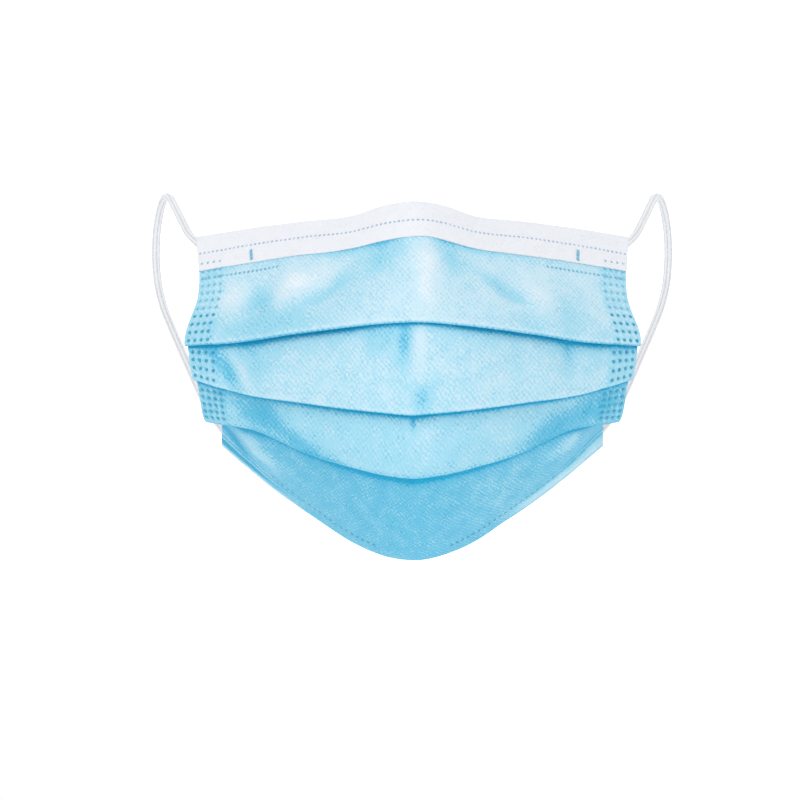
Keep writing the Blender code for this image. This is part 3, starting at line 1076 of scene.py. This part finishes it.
# %% Name the loop's route
LOOP_ROUTE = (
    (0.0621, 0.0385, -0.0172), (0.0638, 0.0442, -0.0144), (0.0665, 0.0485, -0.0105),
    (0.0690, 0.0528, -0.0072), (0.0724, 0.0592, -0.0040), (0.0762, 0.0720, 0.0021),
    (0.0796, 0.0890, 0.0080), (0.0816, 0.0990, 0.0109), (0.0834, 0.1065, 0.0109),
    (0.0851, 0.1125, 0.0075), (0.0865, 0.1165, 0.0008), (0.0870, 0.1180, -0.0070),
    (0.0864, 0.1160, -0.0160), (0.0842, 0.1090, -0.0250), (0.0808, 0.1010, -0.0330),
    (0.0770, 0.0930, -0.0410), (0.0732, 0.0860, -0.0490), (0.0694, 0.0793, -0.0567),
    (0.0656, 0.0730, -0.0628), (0.0622, 0.0674, -0.0670), (0.0596, 0.0628, -0.0689),
    (0.0583, 0.0592, -0.0690), (0.0578, 0.0552, -0.0680),
)
LOOP_WIDTH = 0.003
ROUTE_POINTS = 160

route_knots = np.concatenate(([0.0], np.cumsum(
    np.linalg.norm(np.diff(np.array(LOOP_ROUTE), axis=0), axis=1))))
loop_line = through(route_knots, LOOP_ROUTE, np.linspace(0, route_knots[-1], ROUTE_POINTS))
print(f"ear loop: {1000 * np.linalg.norm(np.diff(loop_line, axis=0), axis=1).sum():.0f} mm")

# %% Build the elastic tree
LOOP_RINGS = 560
LOOP_SIDES = 28
WALES = 7  # ribs round the elastic
COURSE_SHARE = 0.7  # height of its knit along the length, as a share of the ribs'


def elastic_tree():
    """Sweeps a ribbed profile along a curve."""
    sizes = dict.fromkeys(("Width", "Flatness", "Rib height", "Course pitch"), "Float")
    tree, given, result = new_tree("elastic", "Line", sizes, "Elastic")

    def stored(geometry, label, measure):
        """Keeps a curve's own measure on its points under a name."""
        value = add_node(tree, "GeometryNodeSplineParameter").outputs[measure]
        return result_of(tree, "GeometryNodeStoreNamedAttribute",
                         {"Geometry": geometry, "Name": label, "Value": value},
                         data_type="FLOAT", domain="POINT")

    even = result_of(tree, "GeometryNodeResampleCurve", {"Curve": given["Line"], "Count": LOOP_RINGS})
    ring = result_of(tree, "GeometryNodeCurvePrimitiveCircle", {"Resolution": LOOP_SIDES, "Radius": 0.5})
    size = result_of(tree, "ShaderNodeCombineXYZ", {
        0: given["Width"], 1: maths(tree, "MULTIPLY", given["Width"], given["Flatness"]), 2: 1.0})
    profile = result_of(tree, "GeometryNodeTransform", {
        "Geometry": stored(ring, "around", "Factor"), "Scale": size})
    sweep = result_of(tree, "GeometryNodeCurveToMesh", {
        "Curve": stored(even, "along", "Length"), "Profile Curve": profile, "Fill Caps": True})
    ribs = maths(tree, "MULTIPLY", named_value(tree, "around"), 2 * math.pi * WALES)
    turns = maths(tree, "DIVIDE", 2 * math.pi, given["Course pitch"])
    courses = maths(tree, "SINE", maths(tree, "MULTIPLY_ADD", named_value(tree, "along"), turns, ribs))
    height = maths(tree, "MULTIPLY_ADD", courses, COURSE_SHARE, maths(tree, "SINE", ribs))
    lift = result_of(tree, "ShaderNodeVectorMath", {
        0: result_of(tree, "GeometryNodeInputNormal"),
        "Scale": maths(tree, "MULTIPLY", height, given["Rib height"])}, operation="SCALE")
    knit = result_of(tree, "GeometryNodeSetPosition", {"Geometry": sweep, "Offset": lift})
    smooth = result_of(tree, "GeometryNodeSetShadeSmooth", {"Geometry": knit})
    close_tree(tree, smooth, given, result)
    return tree


elastic = elastic_tree()
print("elastic tree:", len(elastic.nodes), "nodes")

# %% Make the elastic's finish
YARN_GRAIN = 2200.0
WALE_TONE = 0.25  # how much paler the wales are than the gaps between them


def knitted(name):
    """White knitted yarn with darker gaps between the wales."""
    made, tree, shader = new_finish(name)
    fibres = grain(tree, add_node(tree, "ShaderNodeTexCoord").outputs["Object"], YARN_GRAIN, detail=4.0)
    around = add_node(tree, "ShaderNodeAttribute", attribute_name="around").outputs["Fac"]
    wales = maths(tree, "SINE", maths(tree, "MULTIPLY", around, 2 * math.pi * WALES))
    value = maths(tree, "MULTIPLY_ADD", wales, WALE_TONE, fibres)
    give(shader, {
        "Base Color": tone_ramp(tree, value, ((0.15, (0.66, 0.67, 0.69)), (0.60, (0.93, 0.93, 0.94)))),
        "Normal": bumps(tree, fibres, distance=0.00008, strength=0.6),
        "Roughness": 0.75, "Sheen Weight": 0.3})
    return made


white_elastic = knitted("white_elastic")
print("made", white_elastic.name)

# %% Sweep the loops
for side, node in ((1, "ear_loop_left"), (-1, "ear_loop_right")):
    line = loop_line * (side, 1, 1)
    curve = bpy.data.curves.new("route", "CURVE")
    curve.dimensions = "3D"
    spline = curve.splines.new("POLY")
    spline.points.add(len(line) - 1)
    for knot, place_at in zip(spline.points, line):
        knot.co = (*place_at, 1.0)
    loop = settled(added("route", curve), elastic, node + "_elastic", **{
        "Width": LOOP_WIDTH - 0.0001, "Flatness": 0.80, "Rib height": 0.00005,
        "Course pitch": 0.0011, "Finish": white_elastic})
    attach(loop, "root")
    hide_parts(node)

# %% Weld the loops' ends inside the corners
END_THICKNESS = 0.0016
END_GAP = 0.0002  # between the lining and the elastic's flat end
END_PLACES = ((0.918, 0, 0.0165), (0.950, PANELS - 1, 0.0880))  # across, panel, down
end_lift = -(LINING_IN + THIN + QUILT_HEIGHT + END_THICKNESS / 2 + END_GAP)
weld("loop_ends", [(side * t, panel, down, end_lift) for side in (-1, 1)
                   for t, panel, down in END_PLACES],
     across=0.0040, along=0.0075, finish=white_elastic, sides=4,
     thickness=END_THICKNESS)

# %% [markdown]
# ## Floor, backdrop and light
# The mask is shown held up over a pale floor, against a white backdrop. A broad soft light above the
# camera gives the pleats their shade from below, and weak light from all round keeps the shade pale.

# %% Make the floor and the backdrop


def plain(name, colour, glow):
    """A plain pale finish, with a little glow where the studio's light has to wash it out."""
    made, _, shader = new_finish(name)
    give(shader, {"Base Color": (*colour, 1.0), "Roughness": 0.9,
                  "Emission Color": (1, 1, 1, 1), "Emission Strength": glow})
    return made


def card(name, corners, finish):
    """A flat four-cornered stage piece."""
    mesh = bpy.data.meshes.new(name)
    mesh.from_pydata(corners, [], [(0, 1, 2, 3)])
    mesh.materials.append(finish)
    made = added(name, mesh)
    return made


FLOOR = -0.26
card("floor", [(-5, -4, FLOOR), (5, -4, FLOOR), (5, 3.2, FLOOR), (-5, 3.2, FLOOR)],
     plain("floor", (0.88, 0.88, 0.88), 0.12))
card("backdrop", [(-5, 3.2, FLOOR), (5, 3.2, FLOOR), (5, 3.2, 4), (-5, 3.2, 4)],
     plain("backdrop", (0.95, 0.95, 0.95), 0.9))

# %% Light the mask
LAMP_SIZE = 1.0
Lamp = namedtuple("Lamp", "name place power")
LAMPS = (
    Lamp("key", (-0.3, -1.3, 1.15), 7.5),
    Lamp("fill", (0.6, -1.6, 0.3), 1.8),
    Lamp("back", (0.5, 1.6, 1.3), 0.7),
)
LIT = Vector((0, 0.03, -0.05))  # the place that the lamps face
for lamp in LAMPS:
    data = bpy.data.lights.new(lamp.name, "AREA")
    data.size = LAMP_SIZE
    data.energy = lamp.power
    light = added(lamp.name, data)
    light.location = lamp.place
    light.rotation_euler = (light.location - LIT).to_track_quat("Z", "Y").to_euler()

world = bpy.data.worlds.new("studio")
bpy.context.scene.world = world
world.use_nodes = True
give(world.node_tree.nodes["Background"], {"Color": (0.96, 0.98, 1.0, 1.0), "Strength": 0.68})
print("lamps:", [lamp.name for lamp in LAMPS])
